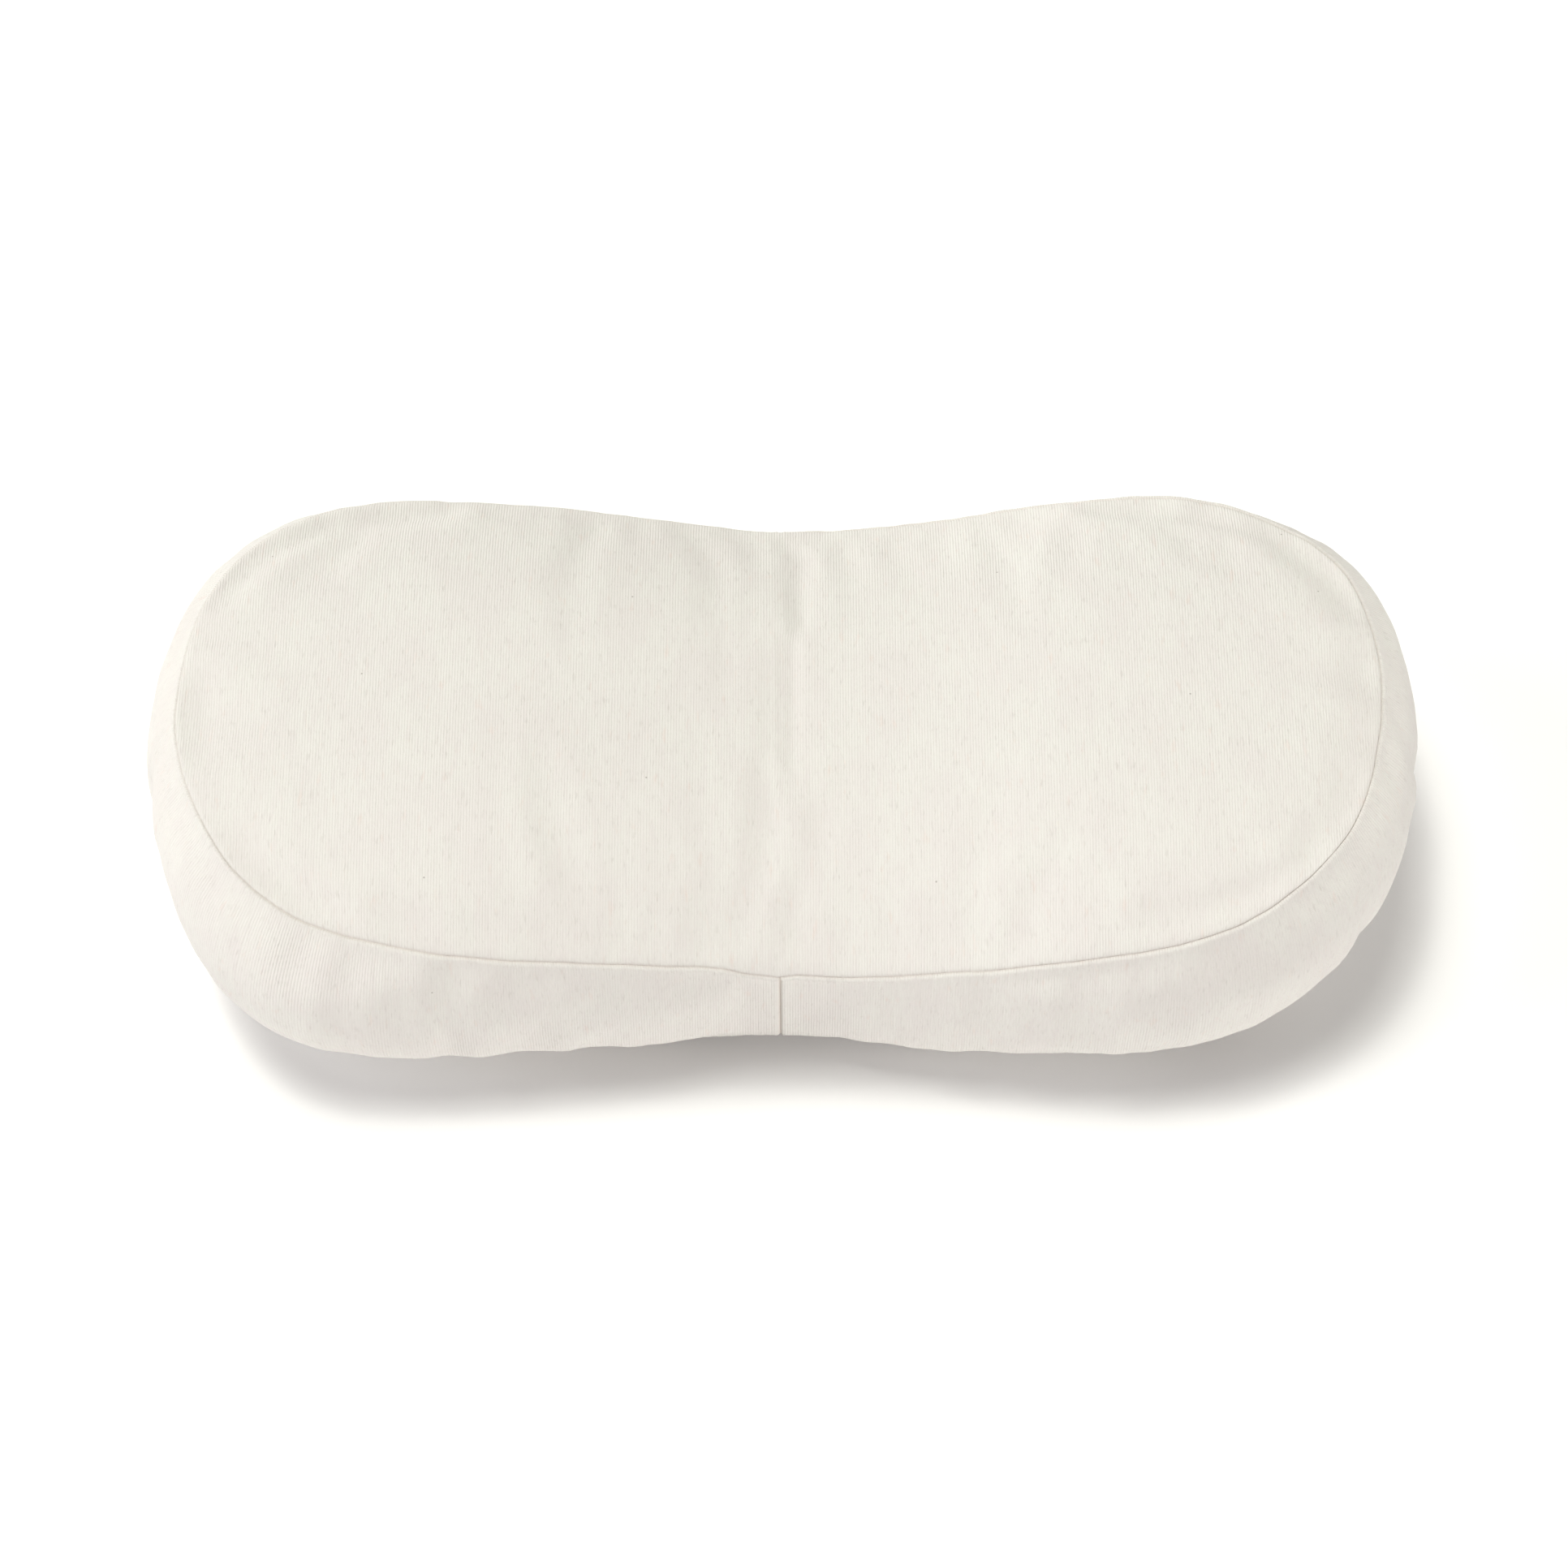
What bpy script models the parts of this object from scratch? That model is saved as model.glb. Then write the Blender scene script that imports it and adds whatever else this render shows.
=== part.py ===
"""Peanut-shaped jersey cushion: one filled cover sewn from a top panel, a side band and a bottom panel.

X runs along the cushion, Y to its back and Z up from the surface that it rests on. Lengths are in metres.
"""
import math
from collections import namedtuple

import bmesh
import bpy
import numpy as np

# The outline of the top seam, seen from above
SEAM_HALF_LENGTH = 0.2086
END_ROUNDNESS = 3.06         # power of the rounded ends: 2 is an ellipse, more is squarer

# Sections across the cushion from its left end to its right end. along is a share of the seam's half length.
#   depth        half depth of the top seam, before the ends are rounded
#   seam_height  top seam above the floor
#   crown        rise of the top panel from its seam to its middle
#   bulge        how far the side band stands out past the top seam
#   fullest      height of the band's fullest line, as a share of the top seam's
Section = namedtuple("Section", "along depth seam_height crown bulge fullest")
SECTIONS = (
    Section(-1.00, 0.1000, 0.0975, 0.0065, 0.0160, 0.60),
    Section(-0.75, 0.1020, 0.0875, 0.0160, 0.0180, 0.53),
    Section(-0.50, 0.0980, 0.0815, 0.0215, 0.0105, 0.48),
    Section(-0.25, 0.0930, 0.0735, 0.0245, 0.0050, 0.45),
    Section(0.00, 0.0912, 0.0655, 0.0255, 0.0010, 0.45),
    Section(0.25, 0.0935, 0.0690, 0.0250, 0.0050, 0.45),
    Section(0.50, 0.0985, 0.0810, 0.0210, 0.0090, 0.48),
    Section(0.75, 0.1025, 0.0900, 0.0150, 0.0140, 0.53),
    Section(1.00, 0.0960, 0.1010, 0.0050, 0.0165, 0.60),
)

# How the panels curve
CROWN_REACH = 0.075          # how far in from its seam the top panel keeps climbing
CROWN_POWER = 2.6
BAND_WIDTH = 0.0900          # along its curve, on the lobes
BAND_TUCK = 0.0060           # the bottom seam lies this far inside the top seam
TUCK_POWER = 2.6             # the lower band is upright at its fullest line and turns under faster below it
BOTTOM_SEAM_HEIGHT = 0.0080
FLOOR_INSET = 0.0200         # how far in from its seam the bottom panel meets the floor

# The sewn seams, which draw the cover in to a channel
CHANNEL_HALF_WIDTH = 0.0022
CHANNEL_DEPTH = 0.0016
TOP_SEAM_PULL = (-0.7, -0.7)     # which way a seam draws the cover: outward, then upward
BOTTOM_SEAM_PULL = (-0.8, 0.6)

# How finely the cover is divided
COLUMNS_PER_QUARTER = 36
TOP_ROWS = 13
BAND_ROWS = 12
UNDERSIDE_ROWS = 3

JERSEY_SRGB = (0.94, 0.925, 0.895)
JERSEY_ROUGHNESS = 0.9


def section_value(along, column):
    """A column of SECTIONS at any place along the cushion, on a smooth curve through its rows."""
    stations = np.array([row.along for row in SECTIONS])
    values = np.array([getattr(row, column) for row in SECTIONS])
    slopes = np.gradient(values, stations)
    slopes[[0, -1]] = 0.0
    along = np.clip(along, -1.0, 1.0)
    left = np.clip(np.searchsorted(stations, along) - 1, 0, len(stations) - 2)
    step = stations[left + 1] - stations[left]
    share = (along - stations[left]) / step
    ease = share * share * (3.0 - 2.0 * share)
    leave = share * (1.0 - share) ** 2 * step * slopes[left]
    arrive = share * share * (share - 1.0) * step * slopes[left + 1]
    return values[left] + ease * (values[left + 1] - values[left]) + leave + arrive


def quarter_outline(side_x, side_y):
    """A quarter of the top seam, from the waist to the end, with its points evenly apart past the waist's channel."""
    turn = np.linspace(0.0, math.pi / 2.0, 2001)
    power = 2.0 / END_ROUNDNESS
    along = np.sin(turn) ** power
    x = side_x * SEAM_HALF_LENGTH * along
    y = side_y * section_value(side_x * along, "depth") * np.abs(np.cos(turn)) ** power
    y[-1] = 0.0
    length = np.concatenate(([0.0], np.cumsum(np.hypot(np.diff(x), np.diff(y)))))
    places = np.concatenate(([0.0], np.linspace(CHANNEL_HALF_WIDTH, length[-1], COLUMNS_PER_QUARTER)))
    return np.column_stack((np.interp(places, length, x), np.interp(places, length, y)))


def seam_outline():
    """The top seam seen from above, counter-clockwise from the middle of its front."""
    front_right = quarter_outline(1.0, -1.0)
    back_right = quarter_outline(1.0, 1.0)[::-1]
    back_left = quarter_outline(-1.0, 1.0)
    front_left = quarter_outline(-1.0, -1.0)[::-1]
    return np.vstack((front_right[:-1], back_right[:-1], back_left[:-1], front_left[:-1]))


def outward_directions(outline):
    """The level direction that points straight out of the outline, at each of its points."""
    run = np.roll(outline, -1, axis=0) - np.roll(outline, 1, axis=0)
    out = np.column_stack((run[:, 1], -run[:, 0]))
    return out / np.linalg.norm(out, axis=1)[:, None]


def distance_to_outline(points, outline):
    """The shortest level distance from each point to the outline."""
    run = np.roll(outline, -1, axis=0) - outline
    offset = points[:, None, :] - outline[None, :, :]
    share = np.clip((offset * run).sum(2) / (run * run).sum(1), 0.0, 1.0)
    return np.linalg.norm(offset - share[:, :, None] * run, axis=2).min(1)


def top_panel_height(points, outline):
    """The height of the top panel over each point inside the top seam."""
    along = points[:, 0] / SEAM_HALF_LENGTH
    inward = np.clip(distance_to_outline(points, outline) / CROWN_REACH, 0.0, 1.0)
    dome = 1.0 - (1.0 - inward) ** CROWN_POWER
    return section_value(along, "seam_height") + section_value(along, "crown") * dome


def top_panel_rows(outline):
    """Rows of the top panel, from round its middle to the edge of the top seam's channel."""
    edge = 1.0 - CHANNEL_HALF_WIDTH / np.linalg.norm(outline, axis=1)
    rows = []
    for number in range(1, TOP_ROWS + 1):
        spread = math.sin(0.5 * math.pi * number / TOP_ROWS)
        points = outline * (edge * spread)[:, None]
        rows.append(np.column_stack((points, top_panel_height(points, outline))))
    return rows


def band_row(outline, share):
    """One row of the side band, at a share of the way from the top seam to the bottom seam."""
    along = outline[:, 0] / SEAM_HALF_LENGTH
    top = section_value(along, "seam_height")
    fullest = top * section_value(along, "fullest")
    bulge = section_value(along, "bulge")
    if share < 0.5:
        upper = 1.0 - 2.0 * share
        sideways = bulge * (1.0 - upper ** 2)
        height = fullest + (top - fullest) * upper
    else:
        lower = 2.0 * share - 1.0
        sideways = bulge - (bulge + BAND_TUCK) * lower ** TUCK_POWER
        height = fullest - (fullest - BOTTOM_SEAM_HEIGHT) * lower
    return np.column_stack((outline + outward_directions(outline) * sideways[:, None], height))


def channel_row(row, outline, pull):
    """A seam's row, drawn into the cover by the channel's depth."""
    outward, upward = pull
    sideways = outward_directions(outline) * (CHANNEL_DEPTH * outward)
    return row + np.column_stack((sideways, np.full(len(row), CHANNEL_DEPTH * upward)))


def band_rows(outline):
    """Rows of the side band with the top and bottom seams' channels and the upright ones at the waist."""
    edge = CHANNEL_HALF_WIDTH / BAND_WIDTH
    rows = [band_row(outline, share) for share in np.linspace(edge, 1.0 - edge, BAND_ROWS)]
    middles = [0, 2 * COLUMNS_PER_QUARTER]
    for row in rows:
        row[middles, :2] -= outward_directions(outline)[middles] * CHANNEL_DEPTH
    top_seam = channel_row(band_row(outline, 0.0), outline, TOP_SEAM_PULL)
    bottom_seam = channel_row(band_row(outline, 1.0), outline, BOTTOM_SEAM_PULL)
    return [top_seam] + rows + [bottom_seam]


def underside_rows(outline):
    """Rows of the bottom panel from its seam's channel to the ring where it meets the floor."""
    out = outward_directions(outline)
    rows = []
    for inset in np.linspace(CHANNEL_HALF_WIDTH, FLOOR_INSET, UNDERSIDE_ROWS):
        lift = BOTTOM_SEAM_HEIGHT * (1.0 - inset / FLOOR_INSET) ** 2
        points = outline - out * (BAND_TUCK + inset)
        rows.append(np.column_stack((points, np.full(len(points), lift))))
    return rows


def cover_rows():
    """All rows of the cover from its top middle to the floor, centred on the origin seen from above."""
    outline = seam_outline()
    rows = np.array(top_panel_rows(outline) + band_rows(outline) + underside_rows(outline))
    reach = rows[:, :, :2].reshape(-1, 2)
    rows[:, :, :2] -= 0.5 * (reach.min(0) + reach.max(0))
    return rows


def jersey_material():
    """Warm off-white knitted jersey."""
    material = bpy.data.materials.new("heathered_jersey")
    material.use_nodes = True
    shader = material.node_tree.nodes["Principled BSDF"]
    linear = [((channel + 0.055) / 1.055) ** 2.4 for channel in JERSEY_SRGB]
    shader.inputs["Base Color"].default_value = (*linear, 1.0)
    shader.inputs["Roughness"].default_value = JERSEY_ROUGHNESS
    return material


def build_cushion(collection):
    """Shape a sphere's rings and meridians to the cover's rows and columns."""
    rows = cover_rows()
    columns = rows.shape[1]
    bm = bmesh.new()
    bmesh.ops.create_uvsphere(bm, u_segments=columns, v_segments=len(rows) + 1, radius=1.0)
    poles = []
    for vert in bm.verts:
        x, y, z = vert.co
        level = round(math.acos(max(-1.0, min(1.0, z))) / math.pi * (len(rows) + 1)) - 1
        if 0 <= level < len(rows):
            quarter_turns = (math.atan2(y, x) + math.pi / 2.0) / (2.0 * math.pi)
            vert.co = rows[level, round(quarter_turns * columns) % columns]
        else:
            poles.append(vert)
    top_pole = max(poles, key=lambda vert: vert.co.z)
    bottom_pole = min(poles, key=lambda vert: vert.co.z)
    top_pole.co = (0.0, 0.0, float(rows[0, :, 2].mean()))
    bottom_pole.co = (0.0, 0.0, 0.0)
    bmesh.ops.dissolve_verts(bm, verts=[bottom_pole])

    mesh = bpy.data.meshes.new("cushion")
    bm.to_mesh(mesh)
    bm.free()
    mesh.shade_smooth()
    mesh.materials.append(jersey_material())
    cushion = bpy.data.objects.new("cushion", mesh)
    collection.objects.link(cushion)
    return cushion


def main():
    for old in list(bpy.data.objects):
        bpy.data.objects.remove(old)
    collection = bpy.data.collections.new("peanut_cushion")
    bpy.context.scene.collection.children.link(collection)
    build_cushion(collection)


if __name__ == "__main__":
    main()
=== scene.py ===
"""Dressed model of the peanut-shaped jersey cushion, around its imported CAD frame.

X runs along the cushion, Y to its back and Z up from the surface that it rests on. Lengths are in metres.
The cover is drawn as it is sewn: a top panel, a side band in two lengths and a bottom panel, filled as one.
"""
import math
from collections import namedtuple

import bpy
import numpy as np
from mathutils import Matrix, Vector
from mathutils.kdtree import KDTree


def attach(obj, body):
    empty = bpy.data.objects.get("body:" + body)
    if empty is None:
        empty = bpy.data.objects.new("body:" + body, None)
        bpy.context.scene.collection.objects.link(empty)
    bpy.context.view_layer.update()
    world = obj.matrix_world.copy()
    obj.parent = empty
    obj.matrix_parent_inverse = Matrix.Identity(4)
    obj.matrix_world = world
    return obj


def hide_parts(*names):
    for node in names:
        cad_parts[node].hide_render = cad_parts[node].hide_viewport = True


bl_info = {
    "name": "Peanut Cushion",
    "version": (1, 0, 0),
    "blender": (4, 5, 0),
    "location": "View3D > Sidebar > Cushion",
    "description": "Builds a filled peanut-shaped cushion in heathered jersey, on a white studio floor",
    "category": "Object",
}

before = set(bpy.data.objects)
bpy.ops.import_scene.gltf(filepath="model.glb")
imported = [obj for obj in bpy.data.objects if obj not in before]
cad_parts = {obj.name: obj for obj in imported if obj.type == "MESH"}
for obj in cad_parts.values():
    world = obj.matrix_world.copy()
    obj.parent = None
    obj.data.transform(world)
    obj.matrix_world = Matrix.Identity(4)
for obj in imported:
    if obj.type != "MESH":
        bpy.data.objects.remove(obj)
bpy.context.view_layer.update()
MM = 0.001

# The top seam seen from above
SEAM_HALF_LENGTH = 0.2086
END_ROUNDNESS = 3.06         # power of the rounded ends: 2 is an ellipse, more is squarer

# Sections across the cushion from its left end to its right end. along is a share of the seam's half length.
#   depth        half depth of the top seam, before the ends are rounded
#   seam_height  top seam above the floor
#   crown        rise of the top panel from its seam to its middle
#   bulge        how far the side band stands out past the top seam
#   fullest      height of the band's fullest line, as a share of the top seam's
Section = namedtuple("Section", "along depth seam_height crown bulge fullest")
SECTIONS = (
    Section(-1.00, 0.1000, 0.0975, 0.0065, 0.0160, 0.60),
    Section(-0.75, 0.1020, 0.0875, 0.0160, 0.0180, 0.53),
    Section(-0.50, 0.0980, 0.0815, 0.0215, 0.0105, 0.48),
    Section(-0.25, 0.0930, 0.0735, 0.0245, 0.0050, 0.45),
    Section(0.00, 0.0912, 0.0655, 0.0255, 0.0010, 0.45),
    Section(0.25, 0.0935, 0.0690, 0.0250, 0.0050, 0.45),
    Section(0.50, 0.0985, 0.0810, 0.0210, 0.0090, 0.48),
    Section(0.75, 0.1025, 0.0900, 0.0150, 0.0140, 0.53),
    Section(1.00, 0.0960, 0.1010, 0.0050, 0.0165, 0.60),
)
CROWN_POWER = 2.6
BAND_TUCK = 0.0060           # the bottom seam lies this far inside the top seam
TUCK_POWER = 2.6             # the lower band turns under faster and faster below its fullest line
BOTTOM_SEAM_HEIGHT = 0.0080
FLOOR_INSET = 0.0200         # how far in from its seam the bottom panel meets the floor

# Where the filled cover departs from those sections. Each row is a bearing in degrees, counter-clockwise from
# the right end, how many mm the whole side stands out further there, and how many mm more the band bulges.
FULLNESS = (
    (-60, 0.0, 2.0), (-52, 0.0, 2.0), (-46, 0.0, 1.1), (-42, 0.0, 1.4), (-38, 0.0, 0.7), (-34, 0.0, -0.6),
    (-29, 0.1, -0.8), (-24, 0.4, -0.9), (-17, 0.4, -2.2), (-13, -0.1, -1.5), (-9, -0.7, -0.6),
    (-5, 0.4, -0.5), (0, 3.0, -1.2), (4, 3.0, -0.8), (9, 2.1, -0.3), (14, 4.0, -1.2), (18, 3.4, 0.0),
    (23, 2.1, 0.9), (28, 2.2, 1.0), (33, 1.7, 0.4), (40, 0.0, 0.0), (52, -0.5, 0.0), (70, 0.0, 0.0),
    (130, 0.0, 0.0), (139, -0.4, -0.3), (152, 2.0, -1.2), (158, 1.8, -1.5), (163, 0.8, -1.8),
    (168, 0.8, -2.1), (172, 1.7, -2.4), (177, 2.8, -3.0), (182, 4.2, -3.1), (185, 2.4, -3.1), (188, 0.6, -2.2),
    (192, -1.1, -1.0), (195, -1.2, 0.4), (198.5, 0.5, 1.9), (202, 1.4, 2.7), (207, 1.2, 2.7), (211, 0.3, 1.0),
    (215, 0.2, 0.2), (218, 0.2, 0.5), (222, 0.2, 0.7), (227, 0.0, 0.3), (232, 0.0, 1.3), (238, 0.0, 2.0),
    (247, 0.0, 2.0), (252, 0.0, 1.0), (257, 0.0, 0.2), (262, 0.0, -0.6), (272, 0.0, -1.0), (278, 0.0, 0.0),
    (283, 0.0, 0.9), (288, 0.0, 1.4), (293, 0.0, 2.0), (300, 0.0, 2.0),
)
FULLNESS_EVENED = 0.006      # the length along the seam over which those rows run into each other
# How the front of the top seam wanders: mm along the cushion, and mm up its slope
FRONT_SEAM = (
    (-205, 0.0), (-165, 0.0), (-152, 0.6), (-130, 0.6), (-115, 0.1), (-60, 0.1), (-40, 0.1), (-27, 1.0),
    (-19, 0.5), (-10, -1.1), (-1, -2.0), (6, -0.7), (15, -1.2), (26, -1.4), (40, -0.9), (60, -0.2),
    (205, -0.2),
)
# The small stray of the whole top seam: the waves' length in mm, their height in mm, and where they start
PUCKERS = ((46.0, 0.22, 0.4), (27.0, 0.26, 2.1), (17.0, 0.20, 4.0), (11.5, 0.12, 5.3))
PUCKER_SIDEWAYS = 0.8
PUCKER_FADE = 0.012          # the puckers die out this far from the seam
WANDER_FADE = 0.030          # the wander of the front seam dies out this far from it
FRONT_DEPTH = 0.08           # the front is in full where the outline lies this far forward
SLOPE = (0.63, 0.90)         # a mm up the seam's slope is so far inward, and so far upward

# The seams' relief: mm from the stitch line, and mm that the cloth stands out
PANEL_SIDE = ((0.0, -0.90), (0.35, -0.62), (0.8, -0.32), (1.4, -0.12), (2.2, -0.02), (3.2, 0.0))
BAND_SIDE = ((0.0, -0.90), (0.35, -0.28), (0.8, 0.22), (1.4, 0.42), (2.2, 0.34), (3.2, 0.16), (5.0, 0.0))
JOIN_SIDE = ((0.0, -0.95), (0.35, -0.45), (0.8, -0.05), (1.4, 0.10), (2.2, 0.05), (3.2, 0.0))
# How fully the top seam shows in its relief and in its colour, which is thread colour and painted shade, by
# bearing in degrees as above
SEAM_SHOWN = (
    (-60, 1.0), (75, 1.0), (100, 0.5), (125, 0.3), (168, 0.3), (186, 0.7), (200, 1.0), (300, 1.0),
)
NEAR_SEAM = (0.0, 0.35, 0.8, 1.4, 2.2, 3.2)      # mm: where rows of points stand beside every seam

JOIN_GIVES_WAY = -0.5        # mm: where a long seam is sunk deeper than this, the upright join adds nothing
STITCH_SHADE = 0.4           # mm either side of the stitch line over which its shade is painted into the colour
# How much of the thread's colour, mixed with painted shade of the seam groove, shows at the top, bottom and
# upright seams
STITCH_THREAD_AND_SHADE = (0.45, 0.6, 0.8)

# How finely the cover is divided. front and end count the columns along a side and round an end.
Grid = namedtuple("Grid", "front end top_rows band_rows near")
FINE = Grid(164, 76, 12, 26, NEAR_SEAM)
COARSE = Grid(96, 44, 7, 18, (0.0,))
CORNER_SHARE = 0.68          # how far along a quarter of the seam its corner column stands
INNER_X = 0.150              # half sides of the even grid in the middle of the top and bottom panels
INNER_Y = 0.062
UNDER_SHARE = 0.96           # the bottom panel's even grid, as a share of the top one's
FAN_HOLD = 0.018             # how far in from the seam the columns still run square to it

# Where each length of cloth was cut from, as places in metres that keep the heather of two panels apart
BAND_CUT = (0.7133, 2.1)     # the right and the left length of the band
UNDER_CUT = (0.0, 1.7)       # the bottom panel
BAND_STRETCH = 1.05          # how much longer the band is round its bulge than along its seam

# The swelling of the filled cover
PRESSURE = 4.0
SWELL_FRAMES = 20
SWELL_CAP = 0.006            # no point moves further than this
SEAM_SHRINK = 0.05           # the share by which the thread draws the cloth in along a seam
SEAM_REACH = 7.0             # mm from a seam over which that dies out
AT_SEAM = 0.99               # points drawn in by more than this share lie on a seam
SEAM_HOLD = 0.35             # how firmly the seams keep their place: 1 is fixed
ON_FLOOR = 0.0004            # points lower than this lie on the floor and stay
CLOTH_STRETCH = 20.0
CLOTH_SHEAR = 8.0
CLOTH_BENDING = 0.05
CLOTH_MASS = 0.2
SPREAD_REACH = 0.004         # how far a coarse point's move is felt by the fine points near it
SPREAD_POINTS = 8
BROAD_ROUNDS = 14            # rounds of evening out that leave only the broad part of the swelling
BROAD_SHARE = 0.10           # how much of the broad swelling is kept: the sections above already have it

# The evening out of the top panel
TAUT_START = 4.0             # mm from its seam where it begins
TAUT_FULL = 16.0             # mm from its seam where it is in full
TAUT_ROUNDS = 140
TAUT_ABOVE = 0.05            # only the top panel has points inside its seam that lie this high

# The studio's lamps, matched to the photo's shading and shadow. Each stands at a bearing, counter-clockwise from
# the right, and a height, both in degrees, and looks so many degrees wide. share is its part of the light.
Lamp = namedtuple("Lamp", "name bearing height width share tint")
LAMPS = (
    Lamp("overhead_softbox", 140.0, 74.5, 26.0, 0.550, "FFFFF8"),
    Lamp("overhead_core", 140.0, 74.5, 8.0, 0.140, "FFFFF8"),
    Lamp("left_panel", 180.0, 12.0, 22.0, 0.360, "FFFDFF"),
    Lamp("left_fill", 180.0, 30.0, 34.0, 0.250, "FFFDFF"),
    Lamp("front_panel", 270.0, 12.0, 22.0, 0.170, "FFFAF9"),
    Lamp("front_right_panel", 315.0, 12.0, 22.0, 0.440, "FFFAF9"),
    Lamp("back_right_fill", 45.0, 30.0, 34.0, 0.200, "FFFDF8"),
    Lamp("back_fill", 90.0, 58.0, 40.0, 0.100, "FFFDF8"),
)
LAMP_DISTANCE = 2.5          # only where the lamps' marks stand: a lamp of this kind is far away
FLOOR_HALF = 30.0

# The camera, from the fit of the photo
CAMERA_TARGET = (0.0013, 0.0, 0.0388)
CAMERA_ELEVATION = 60.0
CAMERA_DISTANCE = 1.574
CAMERA_LENS = 100.0
CAMERA_SENSOR = 36.0


def linear(hex_colour):
    """A colour written as sRGB hex, as linear red, green, blue and alpha."""
    channels = [int(hex_colour[place:place + 2], 16) / 255.0 for place in (0, 2, 4)]
    lit = [c / 12.92 if c <= 0.04045 else ((c + 0.055) / 1.055) ** 2.4 for c in channels]
    return (*lit, 1.0)


def section_value(along, column):
    """A column of SECTIONS at any place along the cushion, on a smooth curve through its rows."""
    stations = np.array([row.along for row in SECTIONS])
    values = np.array([getattr(row, column) for row in SECTIONS])
    slopes = np.gradient(values, stations)
    slopes[[0, -1]] = 0.0
    along = np.clip(along, -1.0, 1.0)
    left = np.clip(np.searchsorted(stations, along) - 1, 0, len(stations) - 2)
    step = stations[left + 1] - stations[left]
    share = (along - stations[left]) / step
    ease = share * share * (3.0 - 2.0 * share)
    leave = share * (1.0 - share) ** 2 * step * slopes[left]
    arrive = share * share * (share - 1.0) * step * slopes[left + 1]
    return values[left] + ease * (values[left + 1] - values[left]) + leave + arrive


def from_table(table, places):
    """The second column of a table of pairs, read at places in its first, both in mm."""
    keys, values = zip(*table)
    return np.interp(places, keys, values)


def quarter_outline(side_x, side_y, grid):
    """A quarter of the top seam, from the waist by its corner to the end."""
    turn = np.linspace(0.0, math.pi / 2.0, 4001)
    power = 2.0 / END_ROUNDNESS
    along = np.sin(turn) ** power
    x = side_x * SEAM_HALF_LENGTH * along
    y = side_y * section_value(side_x * along, "depth") * np.abs(np.cos(turn)) ** power
    y[-1] = 0.0
    length = np.concatenate(([0.0], np.cumsum(np.hypot(np.diff(x), np.diff(y)))))
    corner = length[-1] * CORNER_SHARE
    near = np.array(grid.near) * MM
    side = np.linspace(near[-1], corner, grid.front // 2 + 2 - len(near))
    end = np.linspace(corner, length[-1], grid.end // 2 + 1)
    places = np.concatenate((near, side[1:], end[1:]))
    return np.column_stack((np.interp(places, length, x), np.interp(places, length, y)))


def seam_outline(grid):
    """The top seam from above, counter-clockwise from its front left corner."""
    right = np.vstack((quarter_outline(1.0, -1.0, grid), quarter_outline(1.0, 1.0, grid)[-2::-1]))
    left = np.vstack((quarter_outline(-1.0, 1.0, grid), quarter_outline(-1.0, -1.0, grid)[-2::-1]))
    return np.roll(np.vstack((right[:-1], left[:-1])), grid.front // 2, axis=0)


def outward_directions(outline):
    """The level direction that points straight out of the outline, at each of its points."""
    run = np.roll(outline, -1, axis=0) - np.roll(outline, 1, axis=0)
    out = np.column_stack((run[:, 1], -run[:, 0]))
    return out / np.linalg.norm(out, axis=1)[:, None]


def distance_to_outline(points, outline):
    """The shortest level distance from each point to the outline."""
    run = np.roll(outline, -1, axis=0) - outline
    square = (run * run).sum(1)
    nearest = []
    for block in np.array_split(points, max(1, len(points) // 1500)):
        offset = block[:, None, :] - outline[None, :, :]
        share = np.clip((offset * run).sum(2) / square, 0.0, 1.0)
        nearest.append(np.linalg.norm(offset - share[:, :, None] * run, axis=2).min(1))
    return np.concatenate(nearest)


def along_curves(curves, places):
    """Points at given lengths along several curves. curves is (curve, point, axis), places (curve, row)."""
    result = np.empty((len(curves), places.shape[1], curves.shape[2]))
    for number, (curve, row) in enumerate(zip(curves, places)):
        length = np.concatenate(([0.0], np.cumsum(np.linalg.norm(np.diff(curve, axis=0), axis=1))))
        for axis in range(curves.shape[2]):
            result[number, :, axis] = np.interp(row, length, curve[:, axis])
    return result


def curve_lengths(curves):
    """The length of each curve."""
    return np.linalg.norm(np.diff(curves, axis=1), axis=2).sum(1)


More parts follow.
